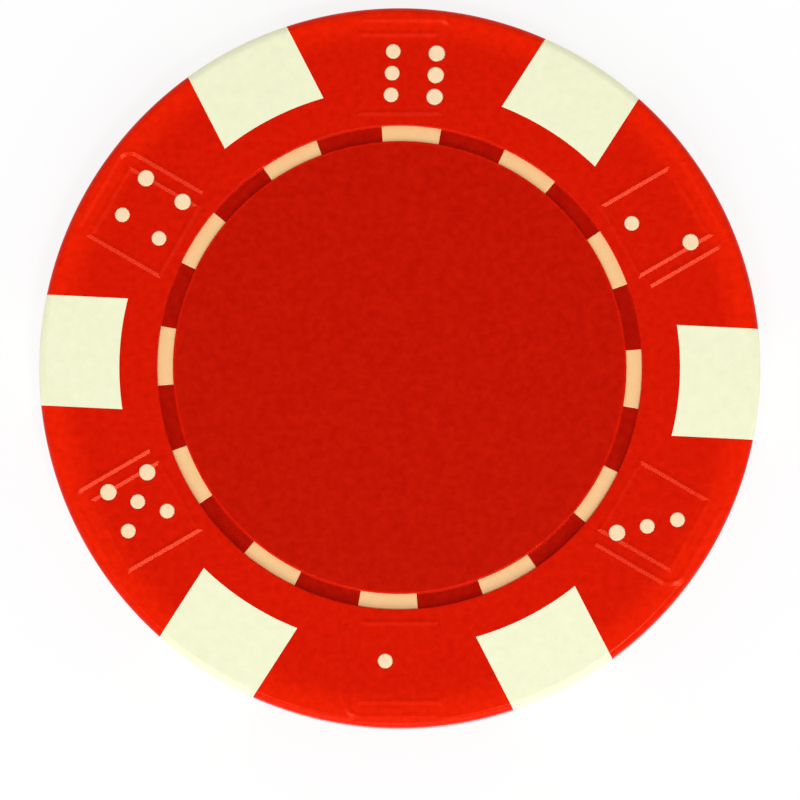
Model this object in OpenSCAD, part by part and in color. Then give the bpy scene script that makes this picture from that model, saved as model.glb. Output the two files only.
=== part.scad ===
// Poker chip with dice round the rim: a steel slug, a white first-shot core moulded round the slug's
// edge, and a red second-shot body moulded round both. The chip lies flat, +Z out of its front face,
// with the die that shows six pips at +Y. All sizes are in millimetres.

/* [Chip] */
// Diameter over the rim
chip_d = 39; // [38.5:0.1:42]
// Thickness at the rim
chip_t = 3.3; // [3.1:0.05:3.8]
// Radius of the rounding on the rim's two edges
edge_r = 0.4; // [0.2:0.05:0.6]

/* [Face centre] */
// Width of the rim's face, from the rim in to the ring groove
rim_w = 6.4; // [6:0.05:7.2]
// Width of the ring groove between the rim's face and the label seat
groove_w = 0.85; // [0.6:0.05:1]
// Depth of the label seat below the rim's face
seat_depth = 0.1; // [0.05:0.01:0.2]
// Depth of the ring groove's floor below the rim's face
groove_depth = 0.3; // [0.2:0.05:0.4]

/* [Steel slug] */
// Distance from the ring groove's outer wall in to the slug's edge
slug_inset = 0.1; // [0:0.05:0.5]
// Thickness of the slug
slug_t = 2; // [1.6:0.1:2.2]

/* [White core] */
// Width of an edge spot
spot_w = 6; // [4:0.1:7]
// Length of an edge spot on the face, from the rim inwards
spot_len = 4.35; // [3:0.05:5]
// Number of fingers over the slug's edge on each face, which show as dashes in the groove
finger_count = 12; // [6:1:18]
// Angle that one finger covers
finger_angle = 14.2; // [8:0.1:16]
// Length of a finger's root under the rim's face, outside the groove
finger_root = 0.9; // [0.5:0.1:1.5]
// Length of a finger's tip under the label seat, inside the groove
finger_tip = 0.25; // [0.1:0.05:0.5]
// Height of a finger's face above the groove's floor
finger_rise = 0.03; // [0.01:0.01:0.06]
// Diameter of a pip
pip_d = 0.83; // [0.6:0.01:1]
// Diameter of a pip on the clockwise side of its die
pip_lead_d = 0.92; // [0.6:0.01:1]
// Distance from a die's middle pip to its outer rows of pips
pip_step = 1.18; // [1:0.01:1.3]
// Distance from the rim to a die's middle pip
pip_inset = 3.6; // [3.2:0.01:4]
// Height of the core's ring above each face of the slug
ring_lip = 0.1; // [0.05:0.01:0.15]
// Wall of red between the core's ring and the rim
rim_wall = 1.7; // [1.2:0.1:2]
// Turn of the core against the body's die outlines, clockwise seen from the front
core_turn = 2.8; // [0:0.1:4]

/* [Die outlines] */
// Distance from the rim to the middle of a die's front face
die_inset = 3.57; // [3.5:0.01:4]
// Side of a die's front face, between the middles of its lines
die_side = 4.27; // [3.6:0.01:4.4]
// Distance from the front face's lines to the lines behind them
die_depth = 0.79; // [0.4:0.01:0.8]
// Distance by which the lines behind start short of the front face's corners
die_start = 0.15; // [0:0.05:0.4]
// Width of a raised line
line_w = 0.22; // [0.12:0.01:0.25]
// Height of a raised line above the rim's face
line_h = 0.04; // [0.02:0.01:0.08]

/* [Hidden] */
$fn = 96;

chip_r = chip_d / 2;
half_t = chip_t / 2;
flat_r = chip_r - edge_r;
groove_r = chip_r - rim_w;
seat_r = groove_r - groove_w;
slug_r = groove_r - slug_inset;
core_ring_r = chip_r - rim_wall;
core_ring_t = slug_t + 2 * ring_lip;
finger_z = half_t - groove_depth + finger_rise;
die_r = chip_r - die_inset;
pip_r = chip_r - pip_inset;

// The pips of each die, counter-clockwise from the +X side, with an edge spot between each two dice
dice = [2, 6, 4, 5, 1, 3];
die_pitch = 360 / len(dice);

// Places of a die's pips in steps from its middle: clockwise, then outwards
corner_pips = [[-1, -1], [-1, 1], [1, -1], [1, 1]];
pip_places = [
    [],
    [[0, 0]],
    [[-1, -1], [1, 1]],
    [[-1, 1], [0, 0], [1, -1]],
    corner_pips,
    concat(corner_pips, [[0, 0]]),
    concat(corner_pips, [[-1, 0], [1, 0]])
];

// How far a cutter runs past the surface that it leaves through
cut_past = 1;

// Puts the part on its lowest lines, from a model that is built about the chip's middle plane
module on_table() {
    translate([0, 0, half_t + line_h]) children();
}

// Repeats a face's features on the back, turned over about the line through the dice six and one
module on_both_faces() {
    children();
    rotate([0, 180, 0]) children();
}

// Sets children at die number i, on a circle of radius r, with +X clockwise and +Y outwards
module at_die(i, r) {
    rotate((i + 0.5) * die_pitch - 90) translate([0, r, 0]) children();
}

// Half of the chip's cross-section, with the label seat and the ring groove cut from both faces
module half_section() {
    difference() {
        translate([0, -half_t]) square([chip_r, chip_t]);
        for (side = [-1, 1]) {
            scale([1, side]) {
                translate([0, half_t - seat_depth]) square([seat_r, seat_depth + cut_past]);
                translate([seat_r, half_t - groove_depth]) square([groove_w, groove_depth + cut_past]);
                difference() {
                    translate([flat_r, half_t - edge_r]) square(edge_r + cut_past);
                    translate([flat_r, half_t - edge_r]) circle(r = edge_r);
                }
            }
        }
    }
}

// The whole chip's outer form without the raised lines
module chip_form() {
    rotate_extrude() half_section();
}

// Half of the slug's cross-section
module slug_section() {
    translate([0, -slug_t / 2]) square([slug_r, slug_t]);
}

// Section of the core's ring round the slug's edge
module ring_section() {
    translate([slug_r, -core_ring_t / 2]) square([core_ring_r - slug_r, core_ring_t]);
}

// Parallel-sided columns of the edge spots, with round inner ends, taller and longer than the chip
module spot_columns() {
    linear_extrude(chip_t + 2 * cut_past, center = true) {
        difference() {
            for (i = [0 : len(dice) - 1]) {
                rotate(i * die_pitch) translate([0, -spot_w / 2]) square([chip_r + cut_past, spot_w]);
            }
            circle(r = chip_r - spot_len);
        }
    }
}

// Fingers that reach from the ring over the slug's edge, with their faces showing in the groove
module core_fingers() {
    for (i = [0 : finger_count - 1]) {
        rotate(i * 360 / finger_count - finger_angle / 2) {
            rotate_extrude(angle = finger_angle) {
                translate([seat_r - finger_tip, slug_t / 2]) {
                    square([finger_tip + groove_w + finger_root, finger_z - slug_t / 2]);
                }
            }
        }
    }
}

// Pins that rise from the ring to the face, where their ends are the dice's pips
module core_pips(past_face) {
    for (i = [0 : len(dice) - 1]) {
        for (place = pip_places[dice[i]]) {
            at_die(i, pip_r) translate(place * pip_step) {
                cylinder(d = place.x > 0 ? pip_lead_d : pip_d, h = half_t + past_face);
            }
        }
    }
}

// A raised line between two points
module line_between(a, b) {
    along = b - a;
    translate(a) rotate(atan2(along.y, along.x)) {
        translate([-line_w / 2, -line_w / 2]) square([norm(along) + line_w, line_w]);
    }
}

// Outline of one die: its front face, and the line behind its clockwise and outer sides
module die_outline() {
    half = die_side / 2;
    far = half + die_depth;
    difference() {
        square(die_side + line_w, center = true);
        square(die_side - line_w, center = true);
    }
    line_between([far, -half + die_start], [far, half]);
    line_between([-half + die_start, far], [half, far]);
    translate([half, half]) {
        intersection() {
            difference() {
                circle(r = die_depth + line_w / 2);
                circle(r = die_depth - line_w / 2);
            }
            square(far);
        }
    }
}

// The raised lines of all dice on the front face, within the flat of the rim's face
module die_lines() {
    translate([0, 0, half_t - line_h]) {
        linear_extrude(2 * line_h) {
            intersection() {
                for (i = [0 : len(dice) - 1]) {
                    at_die(i, die_r) die_outline();
                }
                difference() {
                    circle(r = flat_r);
                    circle(r = groove_r);
                }
            }
        }
    }
}

// Steel disc that gives the chip its weight
module steel_slug() {
    color([0.62, 0.63, 0.64]) on_table() rotate_extrude() slug_section();
}

// First shot: the ring with its edge spots, fingers and pips in one piece
module white_core() {
    color([0.95, 0.95, 0.82]) on_table() rotate(-core_turn) {
        rotate_extrude() ring_section();
        on_both_faces() core_fingers();
        on_both_faces() core_pips(0);
        intersection() {
            spot_columns();
            chip_form();
        }
    }
}

// Second shot: fills the chip's form round the core and over the slug's faces
module red_body() {
    color([0.84, 0.1, 0.02]) on_table() difference() {
        union() {
            chip_form();
            on_both_faces() die_lines();
        }
        rotate(-core_turn) {
            rotate_extrude() {
                slug_section();
                ring_section();
            }
            on_both_faces() core_fingers();
            on_both_faces() core_pips(cut_past);
            spot_columns();
        }
    }
}

steel_slug();
white_core();
red_body();
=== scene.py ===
"""Looks of a poker chip: its red and white mouldings, the steel slug inside, and a stage to see them on."""

import math

import bpy
from bpy.props import FloatProperty, FloatVectorProperty, IntProperty, PointerProperty
from mathutils import Matrix, Vector


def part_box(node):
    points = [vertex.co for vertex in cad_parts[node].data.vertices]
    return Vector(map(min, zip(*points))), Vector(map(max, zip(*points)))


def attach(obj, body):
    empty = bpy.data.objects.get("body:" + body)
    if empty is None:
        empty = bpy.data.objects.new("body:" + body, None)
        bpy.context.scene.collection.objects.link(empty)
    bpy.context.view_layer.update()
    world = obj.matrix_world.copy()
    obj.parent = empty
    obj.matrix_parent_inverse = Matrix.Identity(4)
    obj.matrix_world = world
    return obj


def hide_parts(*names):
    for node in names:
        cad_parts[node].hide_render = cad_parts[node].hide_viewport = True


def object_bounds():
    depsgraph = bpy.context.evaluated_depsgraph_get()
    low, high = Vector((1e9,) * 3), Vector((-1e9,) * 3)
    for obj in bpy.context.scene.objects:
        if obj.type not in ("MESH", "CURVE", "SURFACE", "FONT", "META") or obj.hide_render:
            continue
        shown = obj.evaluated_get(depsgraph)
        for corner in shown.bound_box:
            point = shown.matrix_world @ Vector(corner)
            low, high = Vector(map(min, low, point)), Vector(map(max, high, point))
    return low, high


bl_info = {
    "name": "Poker Chip",
    "version": (1, 0, 0),
    "blender": (4, 5, 0),
    "location": "View3D > Sidebar > Poker Chip",
    "description": "Moulds a two-colour poker chip round its steel slug and sets it on a stage",
    "category": "Object",
}

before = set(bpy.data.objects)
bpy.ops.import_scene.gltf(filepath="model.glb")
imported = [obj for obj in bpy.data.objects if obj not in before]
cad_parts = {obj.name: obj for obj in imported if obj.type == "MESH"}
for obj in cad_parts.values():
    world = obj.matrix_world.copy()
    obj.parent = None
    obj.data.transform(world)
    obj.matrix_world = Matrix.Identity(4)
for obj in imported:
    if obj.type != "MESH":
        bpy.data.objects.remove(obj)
CAD_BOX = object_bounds()
BODY_LOW, BODY_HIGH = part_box("red_body")
CORE_LOW, CORE_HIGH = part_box("white_core")
SLUG_LOW, SLUG_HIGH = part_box("steel_slug")

# The mouldings are shaped in millimetres, so that merging and cutting work at a plain scale
MM = 1000.0
MERGE_MM = 0.0005
NEAR_MM = 0.01
CUT_PAST_MM = 1.0

# Depth by which the die lines reach into the face, so that their widest edges don't lie on it
LINE_ROOT_MM = 0.02

# Steps of the round forms, each of which turns by less than the angle that is shaded smooth
FULL_TURN = 2 * math.pi
SMOOTH_ANGLE = math.radians(9)
TURN_STEPS = 256
RING_STEPS = 128
ROUND_STEPS = 12
CROWN_STEPS = 14
PIP_STEPS = 48
FINGER_STEPS = 24

# Steps of the smallest roundings, which keep their facets
EDGE_STEPS = 2
PIP_EDGE_STEPS = 3

# Stage: sizes and places in metres, powers in watts, and each lamp's name, place, width and power
WHITE = (1.0, 1.0, 1.0, 1.0)
FLOOR_SIZE = 4.0
FLOOR_CUTS = 3
FLOOR_GLOW = 0.85
DAYLIGHT = 0.99
LAMPS = (
    ("low_right_light", (0.111, -0.167, 0.566), 0.08, 0.88),
    ("low_left_light", (-0.122, -0.166, 0.563), 0.08, 0.39),
    ("low_soft_light", (0.0, -0.49, 0.344), 0.4, 1.5),
)

# Camera: its places from the chip's middle in metres, and the chip's scale in the picture
CAMERA_STAND = Vector((0.0055, -0.0327, 0.559))
CAMERA_AIM = Vector((0.000006, -0.00169, 0))
CAMERA_DISTANCE_MM = 560
SENSOR_MM = 36.0
PICTURE_PIXELS = 800
PIXELS_PER_MM = 18.455

# Pips of the dice, counter-clockwise from the +X side, and their places in steps: clockwise, outwards
DICE = (2, 6, 4, 5, 1, 3)
DIE_PITCH = FULL_TURN / len(DICE)
CORNER_PIPS = ((-1, -1), (-1, 1), (1, -1), (1, 1))
PIP_PLACES = {
    1: ((0, 0),),
    2: ((-1, -1), (1, 1)),
    3: ((-1, 1), (0, 0), (1, -1)),
    4: CORNER_PIPS,
    5: CORNER_PIPS + ((0, 0),),
    6: CORNER_PIPS + ((-1, 0), (1, 0)),
}


def length(name, description, default):
    """A size in metres that a user can set."""
    return FloatProperty(
        name=name, description=description, default=default, min=0.0,
        precision=5, subtype="DISTANCE", unit="LENGTH",
    )


def angle(name, description, default):
    """An angle that a user can set."""
    return FloatProperty(
        name=name, description=description, default=math.radians(default),
        subtype="ANGLE", unit="ROTATION",
    )


def colour(name, description, default):
    """A plastic or metal colour that a user can set."""
    return FloatVectorProperty(
        name=name, description=description, default=default, size=3,
        min=0.0, max=1.0, subtype="COLOR",
    )


class ChipSizes(bpy.types.PropertyGroup):
    """Sizes of the chip's outer form and of its two faces."""

    rim_radius: length("Rim radius", "Radius over the rim", BODY_HIGH.y)
    thickness: length("Thickness", "Thickness at the rim", CORE_HIGH.z - CORE_LOW.z)
    crown_width: length("Crown width", "Width of the rounding from the face to the rim", 0.00045)
    crown_drop: length("Crown drop", "Height of the rounding from the face to the rim", 0.0004)
    seat_radius: length("Seat radius", "Radius of the sunk label seat", 0.01225)
    seat_depth: length("Seat depth", "Depth of the label seat below the rim's face", 0.0001)
    groove_radius: length("Groove radius", "Outer radius of the ring groove", 0.0131)
    groove_depth: length("Groove depth", "Depth of the groove's floor below the rim's face", 0.0003)
    soft_edge: length("Soft edge", "Rounding of the groove's edges", 0.00007)


class CoreSizes(bpy.types.PropertyGroup):
    """Sizes of the white core."""

    turn: angle("Turn", "Turn of the core against the die outlines, clockwise", 2.8)
    ring_radius: length("Ring radius", "Outer radius of the ring round the slug", 0.0178)
    ring_height: length("Ring height", "Height of the ring round the slug", 0.0022)
    spot_width: length("Spot width", "Width of an edge spot", 0.006)
    spot_inner: length("Spot inner radius", "Radius at the inner end of an edge spot", 0.01515)
    dash_count: IntProperty(name="Dashes", description="Dashes in a ring groove", default=12, min=1)
    dash_angle: angle("Dash angle", "Angle that a dash covers", 14.2)
    dash_rise: length("Dash rise", "Height of a dash above the groove's floor", 0.00003)
    dash_root: length("Dash root", "Length of a dash's finger outside the groove", 0.0009)
    dash_tip: length("Dash tip", "Length of a dash's finger under the label seat", 0.00025)
    pip_radius: length("Pip circle radius", "Radius of the circle through the middle pips", 0.0159)
    pip_step: length("Pip step", "Distance from the middle pip to the outer rows", 0.00118)
    pip_width: length("Pip width", "Diameter of a pip", 0.00083)
    pip_lead_width: length("Leading pip width", "Diameter of a pip on the clockwise side", 0.00092)
    edge: length("Edge rounding", "Rounding of the white edges beside the red", 0.00004)


class DieSizes(bpy.types.PropertyGroup):
    """Sizes of the raised die outlines."""

    circle_radius: length("Die circle radius", "Radius of the circle through the dice", 0.01593)
    side: length("Side", "Side of a die's front face", 0.00427)
    depth: length("Depth", "Distance from the front face to the line behind it", 0.00079)
    start: length("Start", "Distance by which the line behind starts short of the front face", 0.00015)
    line_width: length("Line width", "Width of a raised line at its foot", 0.0004)
    line_height: length("Line height", "Height of a raised line", CORE_LOW.z - BODY_LOW.z)


class ChipColours(bpy.types.PropertyGroup):
    """Colours of the plastics and of the slug."""

    rim_red: colour("Rim red", "Red plastic of the rim's face", (0.66, 0.0055, 0.0))
    # Painted highlight: a brighter red painted in a band towards the rim, standing in for light that falls
    # on it there
    painted_rim_highlight_red: colour("Edge red", "Red plastic at the rim, where light shines into it", (0.81, 0.0105, 0.0))
    seat_red: colour("Seat red", "Red plastic of the finely textured label seat", (0.52, 0.003, 0.0))
    groove_red: colour("Groove red", "Thin red plastic on the groove's floor", (0.43, 0.002, 0.0))
    white: colour("White", "White plastic of the edge spots", (0.88, 0.89, 0.63))
    pip_white: colour("Pip white", "White of the thin pips, with red behind it", (0.95, 0.70, 0.45))
    dash_white: colour("Dash white", "White of the thin dashes, with red behind it", (0.945, 0.602, 0.285))
    steel: colour("Steel", "Tumbled steel of the slug", (0.55, 0.56, 0.57))


class PokerChip(bpy.types.PropertyGroup):
    """All that a user would change on the chip."""

    chip: PointerProperty(type=ChipSizes)
    core: PointerProperty(type=CoreSizes)
    die: PointerProperty(type=DieSizes)
    colours: PointerProperty(type=ChipColours)


class Wire:
    """A shader socket that takes part in Python expressions, each of which adds a Math node."""

    def __init__(self, finish, socket):
        self.finish = finish
        self.socket = socket

    def maths(self, operation, a, b):
        return self.finish.node("ShaderNodeMath", {"operation": operation}, {0: a, 1: b})

    def __add__(self, other):
        return self.maths("ADD", self, other)

    def __sub__(self, other):
        return self.maths("SUBTRACT", self, other)

    def __rsub__(self, other):
        return self.maths("SUBTRACT", other, self)

    def __mul__(self, other):
        return self.maths("MULTIPLY", self, other)

    __radd__ = __add__
    __rmul__ = __mul__


class Finish:
    """The nodes of one finish, on a material or on the world."""

    def __init__(self, owner):
        owner.use_nodes = True
        self.tree = owner.node_tree
        self.tree.nodes.clear()

    def node(self, kind, settings=None, inputs=None, out=0):
        """Adds a node, sets it up, fills or links its sockets, and gives one output."""
        made = self.tree.nodes.new(kind)
        for name, value in (settings or {}).items():
            setattr(made, name, value)
        for key, value in (inputs or {}).items():
            if isinstance(value, Wire):
                self.tree.links.new(value.socket, made.inputs[key])
            else:
                made.inputs[key].default_value = value
        return Wire(self, made.outputs[out]) if made.outputs else None

    def place(self):
        """The surface point in the chip's own frame, in millimetres."""
        point = self.node("ShaderNodeTexCoord", out="Object")
        return self.node("ShaderNodeVectorMath", {"operation": "SCALE"}, {0: point, "Scale": MM})

    def noise(self, point, size, detail=2.0):
        """Grain about zero, from -0.5 to 0.5, with spots of about the given size in millimetres."""
        return self.node(
            "ShaderNodeTexNoise",
            inputs={"Vector": point, "Scale": 1 / size, "Detail": detail, "Roughness": 0.55},
        ) - 0.5

    def step(self, value, low, high):
        """0 below low and 1 above high, smooth between."""
        return self.node(
            "ShaderNodeMapRange", {"interpolation_type": "SMOOTHSTEP"},
            {"Value": value, "From Min": low, "From Max": high},
        )

    def most(self, a, b):
        """The greater of two values."""
        return self.node("ShaderNodeMath", {"operation": "MAXIMUM"}, {0: a, 1: b})

    def mix(self, share, first, second):
        """Mixes two colours."""
        return self.node(
            "ShaderNodeMix", {"data_type": "RGBA"},
            {0: share, 6: self.opaque(first), 7: self.opaque(second)}, out=2,
        )

    def shade(self, paint, level):
        """A colour made lighter or darker by a level about 1."""
        return self.node("ShaderNodeVectorMath", {"operation": "SCALE"}, {0: paint, "Scale": level})

    def bump(self, height, depth):
        """Relief of the given depth in millimetres."""
        return self.node(
            "ShaderNodeBump",
            inputs={"Height": height, "Distance": depth / MM, "Strength": 1.0},
            out="Normal",
        )

    def surface(self, settings):
        """Ends the finish in one plastic or metal surface."""
        shader = self.node("ShaderNodeBsdfPrincipled", inputs=settings)
        self.node("ShaderNodeOutputMaterial", inputs={"Surface": shader})

    @staticmethod
    def opaque(paint):
        """A colour with the fourth value that a colour socket asks for, or a socket as it is."""
        return paint if isinstance(paint, Wire) else (*paint, 1.0)


def red_plastic(colours, chip):
    """Red satin plastic, finely grained: darker on the seat, thin in the groove, with a painted highlight
    in a band towards the rim.
    """
    material = bpy.data.materials.new("red_plastic")
    finish = Finish(material)
    point = finish.place()
    flat = finish.node("ShaderNodeVectorMath", {"operation": "MULTIPLY"}, {0: point, 1: (1, 1, 0)})
    radius = finish.node("ShaderNodeVectorMath", {"operation": "LENGTH"}, {0: flat}, out="Value")
    seat_edge, groove_edge = chip.seat_radius * MM, chip.groove_radius * MM
    rim_edge, soft = chip.rim_radius * MM, chip.soft_edge * MM
    seat = 1 - finish.step(radius, seat_edge - 2 * soft, seat_edge - soft)
    groove = finish.step(radius, seat_edge, seat_edge + soft) * (
        1 - finish.step(radius, groove_edge - soft, groove_edge)
    )
    # Painted highlight: a band that grows brighter towards the rim and fades again over the rim's rounding
    lit_from, lit_to, dim_from = rim_edge - 2.3, rim_edge - 0.5, rim_edge - 0.4
    painted_highlight_mask = finish.step(radius, lit_from, lit_to) * (
        1 - 0.7 * finish.step(radius, dim_from, rim_edge)
    )
    grain = finish.noise(point, size=0.42)
    fine = finish.noise(point, size=0.11)
    paint = finish.mix(seat, colours.rim_red, colours.seat_red)
    paint = finish.mix(groove, paint, colours.groove_red)
    paint = finish.mix(painted_highlight_mask, paint, colours.painted_rim_highlight_red)
    pale = finish.mix(0.5 + grain, (0.0, 0.0, 0.0), (0.006, 0.006, 0.002))
    speckled = finish.node(
        "ShaderNodeVectorMath", {"operation": "ADD"},
        {0: finish.shade(paint, 1 + 0.36 * grain + 0.06 * fine), 1: pale},
    )
    finish.surface({
        "Base Color": speckled,
        "Roughness": 0.2 + 0.06 * seat + 0.1 * fine,
        "Specular IOR Level": 0.18,
        "Specular Tint": (1.0, 0.3, 0.15, 1.0),
        "Normal": finish.bump(fine * (0.2 + 0.8 * seat), depth=0.003),
    })
    return material


def white_plastic(name, paint):
    """Warm white satin plastic with a faint cloud and a soft grain."""
    material = bpy.data.materials.new(name)
    finish = Finish(material)
    point = finish.place()
    grain = finish.noise(point, size=0.45)
    cloud = finish.noise(point, size=1.9)
    warmth = (0.97, 0.985, 0.93)
    tone = finish.mix(0.5 + cloud, paint, tuple(part * warm for part, warm in zip(paint, warmth)))
    finish.surface({
        "Base Color": finish.shade(tone, 1 + 0.11 * grain),
        "Roughness": 0.4 + 0.1 * grain + 0.1 * cloud,
        "Specular IOR Level": 0.3,
        "Normal": finish.bump(grain, depth=0.0025),
    })
    return material


def slug_steel(colours):
    """Blanked and tumbled steel: fine scratches, dulled in patches."""
    material = bpy.data.materials.new("slug_steel")
    finish = Finish(material)
    point = finish.place()
    across = finish.node("ShaderNodeVectorMath", {"operation": "MULTIPLY"}, {0: point, 1: (1, 14, 14)})
    scratch = finish.noise(across, size=0.5, detail=4.0)
    dull = finish.noise(point, size=2.4, detail=3.0)
    dark_steel = tuple(part * 0.82 for part in colours.steel)
    finish.surface({
        "Base Color": finish.shade(finish.mix(0.5 + dull, colours.steel, dark_steel), 1 + 0.2 * scratch),
        "Metallic": 1.0,
        "Roughness": 0.34 + 0.25 * dull + 0.15 * scratch,
        "Normal": finish.bump(scratch, depth=0.01),
    })
    return material


def fresh():
    """Leaves edit mode and deselects everything, so that an operator acts only on what comes next."""
    if bpy.context.mode != "OBJECT":
        bpy.ops.object.mode_set(mode="OBJECT")
    bpy.ops.object.select_all(action="DESELECT")


def pick(*pieces):
    """Selects pieces, the first of them active."""
    fresh()
    for piece in pieces:
        piece.select_set(True)
    bpy.context.view_layer.objects.active = pieces[0]


def edit(piece, mode="VERT"):
    """Opens a piece in edit mode with all of it selected."""
    pick(piece)
    bpy.ops.object.mode_set(mode="EDIT")
    bpy.ops.mesh.select_mode(type=mode)
    bpy.ops.mesh.select_all(action="SELECT")


def settle(piece):
    """Merges doubles, turns the faces outwards and leaves edit mode."""
    edit(piece)
    bpy.ops.mesh.remove_doubles(threshold=MERGE_MM)
    bpy.ops.mesh.normals_make_consistent(inside=False)
    fresh()


def draw_line(name, points):
    """Draws a line of vertices through points by extruding one vertex from each point to the next."""
    fresh()
    bpy.ops.mesh.primitive_plane_add(size=1.0, location=(0, 0, 0))
    line = bpy.context.active_object
    line.name = name
    edit(line)
    bpy.ops.mesh.merge(type="CENTER")
    points = [Vector(p) for p in points]
    bpy.ops.transform.translate(value=points[0])
    for start, end in zip(points, points[1:]):
        bpy.ops.mesh.extrude_region_move(TRANSFORM_OT_translate={"value": end - start})
    fresh()
    return line


def soften(line, chosen, radius, steps):
    """Rounds the corners of a drawn line that the test picks."""
    edit(line)
    bpy.ops.mesh.select_all(action="DESELECT")
    bpy.ops.object.mode_set(mode="OBJECT")
    for vertex in line.data.vertices:
        vertex.select = chosen(vertex.co)
    bpy.ops.object.mode_set(mode="EDIT")
    bpy.ops.mesh.bevel(affect="VERTICES", offset=radius, segments=steps)
    fresh()


def spin(line, steps):
    """Turns a drawn line about the chip's axis into a solid."""
    edit(line)
    bpy.ops.mesh.spin(steps=steps, angle=FULL_TURN, center=(0, 0, 0), axis=(0, 0, 1))
    settle(line)
    return line


def copy_of(piece):
    """A copy of a piece with a mesh of its own."""
    pick(piece)
    bpy.ops.object.duplicate(linked=False)
    return bpy.context.active_object


def put(piece, place):
    """Moves and turns a piece by a matrix, into its mesh."""
    pick(piece)
    piece.matrix_world = place @ piece.matrix_world
    bpy.ops.object.transform_apply(location=True, rotation=True, scale=True)
    return piece


def join(pieces):
    """Joins pieces that don't touch into one object."""
    pick(*pieces)
    bpy.ops.object.join()
    return bpy.context.active_object


def rounded(piece, width, steps):
    """Rounds the sharp edges of a piece."""
    pick(piece)
    bpy.ops.object.modifier_add(type="BEVEL")
    bevel = piece.modifiers[-1]
    bevel.width = width
    bevel.segments = steps
    bevel.limit_method = "ANGLE"
    bevel.angle_limit = SMOOTH_ANGLE
    bpy.ops.object.modifier_apply(modifier=bevel.name)
    return piece


def combine(piece, operation, other):
    """Adds, cuts or meets a piece with another one, which is used up."""
    pick(piece)
    bpy.ops.object.modifier_add(type="BOOLEAN")
    boolean = piece.modifiers[-1]
    boolean.operation = operation
    boolean.object = other
    boolean.solver = "EXACT"
    boolean.material_mode = "TRANSFER"
    bpy.ops.object.modifier_apply(modifier=boolean.name)
    if not piece.data.polygons:
        raise RuntimeError(f"nothing is left of {piece.name} after {operation.lower()}")
    pick(other)
    bpy.ops.object.delete()
    return piece


def finished(piece, name, nodes):
    """Brings a moulding into metres on its table, smooths it, and lets it stand for its CAD nodes."""
    settle(piece)
    middle = (CORE_LOW.z + CORE_HIGH.z) / 2
    put(piece, Matrix.Translation((0, 0, middle)) @ Matrix.Scale(1 / MM, 4))
    bpy.ops.object.shade_smooth_by_angle(angle=SMOOTH_ANGLE)
    bpy.ops.object.modifier_add(type="WEIGHTED_NORMAL")
    weighted = piece.modifiers[-1]
    weighted.keep_sharp = True
    bpy.ops.object.modifier_apply(modifier=weighted.name)
    piece.name = name
    piece.data.name = name
    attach(piece, "root")
    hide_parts(*nodes)
    fresh()
    return piece


def dress(piece, material):
    """Gives a piece one material."""
    piece.data.materials.clear()
    piece.data.materials.append(material)
    return piece


def turned_over():
    """The turn that repeats the front face's features on the back."""
    return Matrix.Rotation(math.pi, 4, "Y")


def at_die(number, radius):
    """The place of a die, with +X clockwise and +Y outwards."""
    return (
        Matrix.Rotation((number + 0.5) * DIE_PITCH - math.pi / 2, 4, "Z")
        @ Matrix.Translation((0, radius, 0))
    )


def crown(chip):
    """The rounding from the rim's face to the rim, as radius and height above the middle plane."""
    half = chip.thickness * MM / 2
    wide, high = chip.crown_width * MM, chip.crown_drop * MM
    turns = [math.pi / 2 * i / CROWN_STEPS for i in range(CROWN_STEPS + 1)]
    return [
        (chip.rim_radius * MM - wide + wide * math.sin(t), half - high + high * math.cos(t))
        for t in turns
    ]


def solid_of(name, upper):
    """A solid turned from the upper half of a section, which the lower half mirrors."""
    section = [(r, 0, h) for r, h in upper] + [(r, 0, -h) for r, h in reversed(upper)]
    return draw_line(name, section)


def chip_blank(chip):
    """The chip's outer form with plain flat faces."""
    half = chip.thickness * MM / 2
    return spin(solid_of("chip_blank", [(0, half)] + crown(chip)), TURN_STEPS)


def chip_form(chip):
    """The chip's outer form with its label seats and ring grooves, their edges softly rounded."""
    half = chip.thickness * MM / 2
    seat, groove = chip.seat_radius * MM, chip.groove_radius * MM
    seat_height = half - chip.seat_depth * MM
    floor_height = half - chip.groove_depth * MM
    section = solid_of("chip_form", [
        (0, seat_height), (seat, seat_height), (seat, floor_height),
        (groove, floor_height), (groove, half), *crown(chip),
    ])
    soften(
        section, lambda p: min(abs(p.x - seat), abs(p.x - groove)) < NEAR_MM,
        chip.soft_edge * MM, ROUND_STEPS,
    )
    return spin(section, TURN_STEPS)


def turned_band(name, inner, outer, low, high, steps, turn=FULL_TURN):
    """A band or a part of one, turned from a rectangle about the chip's axis."""
    line = draw_line(name, [(inner, 0, low), (outer, 0, low), (outer, 0, high), (inner, 0, high)])
    edit(line)
    bpy.ops.mesh.edge_face_add()
    if turn == FULL_TURN:
        bpy.ops.mesh.delete(type="ONLY_FACE")
        bpy.ops.mesh.select_all(action="SELECT")
    bpy.ops.mesh.spin(steps=steps, angle=turn, center=(0, 0, 0), axis=(0, 0, 1))
    settle(line)
    return line


def spot_columns(core, chip):
    """Columns of the edge spots, parallel-sided with a round inner end, taller and longer than the chip."""
    wide, inner = core.spot_width * MM, core.spot_inner * MM
    outer = chip.rim_radius * MM + CUT_PAST_MM
    tall = chip.thickness * MM + 2 * CUT_PAST_MM
    fresh()
    bpy.ops.mesh.primitive_cube_add(size=1.0, location=((inner + outer) / 2 - CUT_PAST_MM / 2, 0, 0))
    column = bpy.context.active_object
    column.scale = (outer - inner + CUT_PAST_MM, wide, tall)
    put(column, Matrix.Identity(4))
    bpy.ops.mesh.primitive_cylinder_add(
        vertices=TURN_STEPS, radius=inner, depth=tall + CUT_PAST_MM, location=(0, 0, 0),
    )
    combine(column, "DIFFERENCE", bpy.context.active_object)
    return join([column] + [
        put(copy_of(column), Matrix.Rotation(i * DIE_PITCH, 4, "Z")) for i in range(1, len(DICE))
    ])


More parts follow.
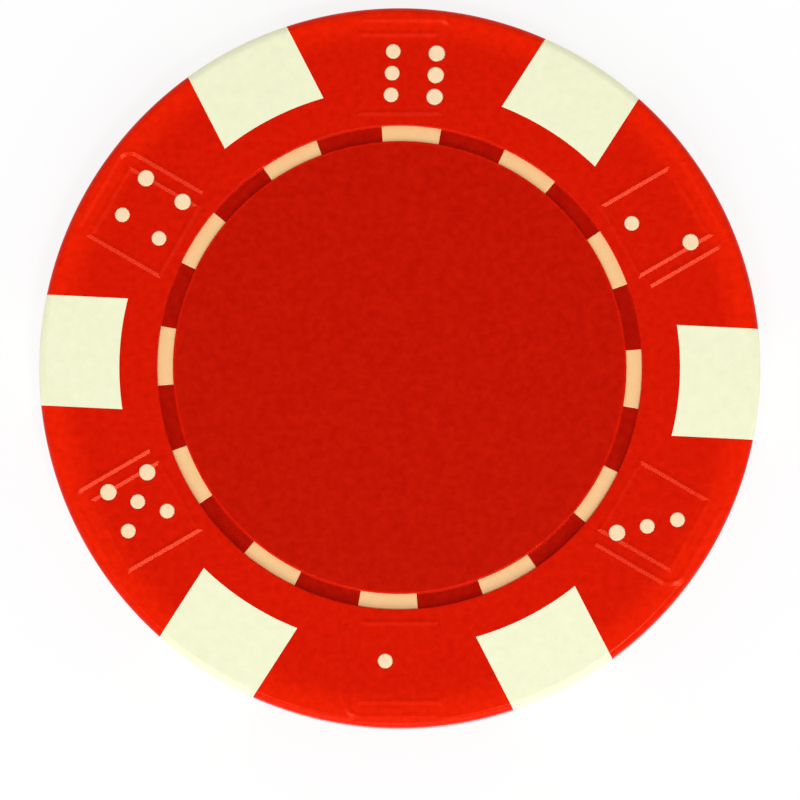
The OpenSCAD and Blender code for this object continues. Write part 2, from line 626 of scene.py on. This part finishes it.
def pips(core, chip, past, edge):
    """Pins of the dice's pips on both faces, from the middle plane to past the face."""
    top = chip.thickness * MM / 2 + past
    made = []
    for number, die in enumerate(DICE):
        for across, outwards in PIP_PLACES[die]:
            width = core.pip_lead_width if across > 0 else core.pip_width
            fresh()
            bpy.ops.mesh.primitive_cylinder_add(
                vertices=PIP_STEPS, radius=width * MM / 2, depth=top, location=(0, 0, top / 2),
            )
            pin = bpy.context.active_object
            if edge:
                rounded(pin, edge, PIP_EDGE_STEPS)
            step = core.pip_step * MM
            place = at_die(number, core.pip_radius * MM)
            put(pin, place @ Matrix.Translation((across * step, outwards * step, 0)))
            made += [pin, put(copy_of(pin), turned_over())]
    return join(made)


def fingers(core, chip, low, edge):
    """Fingers over the slug's edge from a height above the middle plane, whose faces are the dashes."""
    top = chip.thickness * MM / 2 - chip.groove_depth * MM + core.dash_rise * MM
    finger = turned_band(
        "finger", (chip.seat_radius - core.dash_tip) * MM, (chip.groove_radius + core.dash_root) * MM,
        low, top, FINGER_STEPS, core.dash_angle,
    )
    put(finger, Matrix.Rotation(core.dash_angle / 2, 4, "Z"))
    if edge:
        rounded(finger, edge, EDGE_STEPS)
    made = [finger]
    for i in range(1, core.dash_count):
        made.append(put(copy_of(finger), Matrix.Rotation(FULL_TURN * i / core.dash_count, 4, "Z")))
    return join(made + [put(copy_of(piece), turned_over()) for piece in made])


def die_tubes(die, chip):
    """Raised lines of the dice on both faces: the front squares, and the lines behind them."""
    half, depth = die.side * MM / 2, die.depth * MM
    far, start = half + depth, die.start * MM - half
    high = die.line_height * MM + LINE_ROOT_MM
    wide = die.line_width * MM / 2 * high / (die.line_height * MM)
    corners = [(-half, -half, 0), (half, -half, 0), (half, half, 0), (-half, half, 0)]
    square = draw_line("die_front", corners)
    edit(square)
    bpy.ops.mesh.edge_face_add()
    bpy.ops.mesh.delete(type="ONLY_FACE")
    behind = draw_line("die_behind", [(far, start, 0), (far, far, 0), (start, far, 0)])
    soften(behind, lambda p: min(p.x, p.y) > far - NEAR_MM, depth, 2 * ROUND_STEPS)
    lines = []
    for line in (square, behind):
        pick(line)
        bpy.ops.object.convert(target="CURVE")
        line = bpy.context.active_object
        line.data.dimensions = "2D"
        line.data.fill_mode = "NONE"
        line.data.bevel_depth = wide
        line.data.bevel_resolution = 0
        line.data.use_fill_caps = True
        bpy.ops.object.convert(target="MESH")
        line = bpy.context.active_object
        settle(line)
        flat = Matrix.Scale(high / wide, 4, (0, 0, 1))
        face = Matrix.Translation((0, 0, chip.thickness * MM / 2 - LINE_ROOT_MM))
        put(line, face @ flat)
        front = [put(copy_of(line), at_die(i, die.circle_radius * MM)) for i in range(len(DICE))]
        pick(line)
        bpy.ops.object.delete()
        lines.append(join(front + [put(copy_of(piece), turned_over()) for piece in front]))
    return lines


class CHIP_OT_white_core(bpy.types.Operator):
    """Moulds the white core: the ring round the slug with its edge spots, pips and dashes"""

    bl_idname = "poker_chip.white_core"
    bl_label = "Mould White Core"

    def execute(self, context):
        made = context.scene.poker_chip
        core, chip, colours = made.core, made.chip, made.colours
        edge = core.edge * MM
        spots = combine(spot_columns(core, chip), "INTERSECT", chip_blank(chip))
        settle(spots)
        rounded(spots, edge, EDGE_STEPS)
        spot_white = white_plastic("white_plastic", colours.white)
        dress(spots, spot_white)
        dots = pips(core, chip, 0.0, 2 * edge)
        dress(dots, white_plastic("white_plastic_pips", colours.pip_white))
        slug_half = (SLUG_HIGH.z - SLUG_LOW.z) * MM / 2
        dashes = fingers(core, chip, slug_half, edge)
        dress(dashes, white_plastic("white_plastic_dashes", colours.dash_white))
        high = core.ring_height * MM / 2
        ring = turned_band("ring", SLUG_HIGH.x * MM, core.ring_radius * MM, -high, high, RING_STEPS)
        dress(ring, spot_white)
        combine(ring, "UNION", join([spots, dots, dashes]))
        put(ring, Matrix.Rotation(-core.turn, 4, "Z"))
        finished(ring, "white_core_moulding", ["white_core"])
        return {"FINISHED"}


class CHIP_OT_red_body(bpy.types.Operator):
    """Moulds the red body round the core and the slug, with the raised outlines of the dice"""

    bl_idname = "poker_chip.red_body"
    bl_label = "Mould Red Body"

    def execute(self, context):
        made = context.scene.poker_chip
        core, chip = made.core, made.chip
        body = chip_form(chip)
        for lines in die_tubes(made.die, chip):
            combine(body, "UNION", lines)
        turn = Matrix.Rotation(-core.turn, 4, "Z")
        slug_half = (SLUG_HIGH.z - SLUG_LOW.z) * MM / 2
        ring_half = core.ring_height * MM / 2
        slug_edge = SLUG_HIGH.x * MM
        inside = spin(solid_of("inside", [
            (0, slug_half), (slug_edge, slug_half),
            (slug_edge, ring_half), (core.ring_radius * MM, ring_half),
        ]), RING_STEPS)
        combine(body, "DIFFERENCE", inside)
        cutters = join([
            spot_columns(core, chip),
            pips(core, chip, CUT_PAST_MM, 0.0),
            fingers(core, chip, slug_half / 2, 0.0),
        ])
        combine(body, "DIFFERENCE", put(cutters, turn))
        dress(body, red_plastic(made.colours, chip))
        finished(body, "red_body_moulding", ["red_body"])
        return {"FINISHED"}


class CHIP_OT_steel_slug(bpy.types.Operator):
    """Finishes the slug's own solid in tumbled steel"""

    bl_idname = "poker_chip.steel_slug"
    bl_label = "Finish Steel Slug"

    def execute(self, context):
        dress(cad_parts["steel_slug"], slug_steel(context.scene.poker_chip.colours))
        return {"FINISHED"}


class CHIP_OT_stage(bpy.types.Operator):
    """Sets the pale floor, the soft lights and the camera that looks down on the front face"""

    bl_idname = "poker_chip.stage"
    bl_label = "Set Stage"

    def execute(self, context):
        fresh()
        bpy.ops.mesh.primitive_plane_add(size=FLOOR_SIZE, location=(0, 0, 0))
        floor = bpy.context.active_object
        floor.name = "floor"
        edit(floor)
        bpy.ops.mesh.subdivide(number_cuts=FLOOR_CUTS)
        fresh()
        dress(floor, self.floor_paper())
        self.daylight(context.scene)
        for name, place, size, watts in LAMPS:
            self.lamp(name, Vector(place), size, watts)
        self.camera(context.scene)
        context.scene.view_settings.view_transform = "Standard"
        return {"FINISHED"}

    @staticmethod
    def backdrop_rays(finish):
        """1 for the rays that see the white backdrop: from the camera, off gloss or through glass."""
        rays = [
            finish.node("ShaderNodeLightPath", out=f"Is {kind} Ray")
            for kind in ("Camera", "Glossy", "Transmission")
        ]
        return finish.most(finish.most(rays[0], rays[1]), rays[2])

    def floor_paper(self):
        """White paper, a little brighter to the camera, which keeps the chip's shadow."""
        material = bpy.data.materials.new("floor_paper")
        finish = Finish(material)
        seen = self.backdrop_rays(finish)
        paper = finish.node("ShaderNodeBsdfDiffuse", inputs={"Color": (0.95, 0.95, 0.95, 1.0)})
        glow = finish.node("ShaderNodeEmission", inputs={"Color": WHITE, "Strength": 1.0})
        both = finish.node("ShaderNodeMixShader", inputs={0: seen * FLOOR_GLOW, 1: paper, 2: glow})
        finish.node("ShaderNodeOutputMaterial", inputs={"Surface": both})
        return material

    def daylight(self, scene):
        """Soft light from all round, dim overhead, with white walls as the backdrop."""
        world = bpy.data.worlds.new("studio")
        scene.world = world
        finish = Finish(world)
        way = finish.node("ShaderNodeTexCoord", out="Generated")
        up = finish.node("ShaderNodeSeparateXYZ", inputs={0: way}, out="Z")
        glow = finish.node(
            "ShaderNodeBackground", inputs={"Color": WHITE, "Strength": DAYLIGHT * (1 - up * up)},
        )
        wall_top, ceiling = 0.3, 0.75
        walls = 1 - finish.step(up, wall_top, ceiling)
        plain = finish.node("ShaderNodeLightPath", out="Is Camera Ray")
        backdrop = finish.node(
            "ShaderNodeBackground", inputs={"Color": WHITE, "Strength": finish.most(walls, plain)},
        )
        seen = self.backdrop_rays(finish)
        both = finish.node("ShaderNodeMixShader", inputs={0: seen, 1: glow, 2: backdrop})
        finish.node("ShaderNodeOutputWorld", inputs={"Surface": both})

    @staticmethod
    def lamp(name, place, size, watts):
        """A square soft light aimed at the chip."""
        turn = (-place).to_track_quat("-Z", "Y").to_euler()
        bpy.ops.object.light_add(type="AREA", location=place, rotation=turn)
        light = bpy.context.active_object
        light.name = name
        light.data.size = size
        light.data.energy = watts

    @staticmethod
    def camera(scene):
        """A long lens above the front face, a little towards the die that shows one pip."""
        middle = Vector((0, 0, (CAD_BOX[0].z + CAD_BOX[1].z) / 2))
        stand = middle + CAMERA_STAND
        aim = middle + CAMERA_AIM
        back = (stand - aim).normalized()
        right = Vector((0, 1, 0)).cross(back).normalized()
        turn = Matrix((right, back.cross(right), back)).transposed().to_euler()
        bpy.ops.object.camera_add(location=stand, rotation=turn)
        camera = bpy.context.active_object
        camera.name = "camera"
        camera.data.sensor_width = SENSOR_MM
        camera.data.lens = SENSOR_MM / PICTURE_PIXELS * PIXELS_PER_MM * CAMERA_DISTANCE_MM
        camera.data.clip_start = 0.05
        camera.data.clip_end = 20.0
        scene.camera = camera


class CHIP_PT_panel(bpy.types.Panel):
    """Lists the chip's pieces, sizes and colours"""

    bl_idname = "CHIP_PT_panel"
    bl_label = "Poker Chip"
    bl_space_type = "VIEW_3D"
    bl_region_type = "UI"
    bl_category = "Poker Chip"

    def draw(self, context):
        layout = self.layout
        for operator in OPERATORS:
            layout.operator(operator.bl_idname)
        made = context.scene.poker_chip
        for group in (made.chip, made.core, made.die, made.colours):
            box = layout.box()
            for name in group.__annotations__:
                box.prop(group, name)


OPERATORS = (CHIP_OT_white_core, CHIP_OT_red_body, CHIP_OT_steel_slug, CHIP_OT_stage)
CLASSES = (ChipSizes, CoreSizes, DieSizes, ChipColours, PokerChip, *OPERATORS, CHIP_PT_panel)


def register():
    for made in CLASSES:
        bpy.utils.register_class(made)
    bpy.types.Scene.poker_chip = PointerProperty(type=PokerChip)


def unregister():
    del bpy.types.Scene.poker_chip
    for made in reversed(CLASSES):
        bpy.utils.unregister_class(made)


def main():
    register()
    bpy.ops.poker_chip.white_core()
    bpy.ops.poker_chip.red_body()
    bpy.ops.poker_chip.steel_slug()
    bpy.ops.poker_chip.stage()


if __name__ == "__main__":
    main()
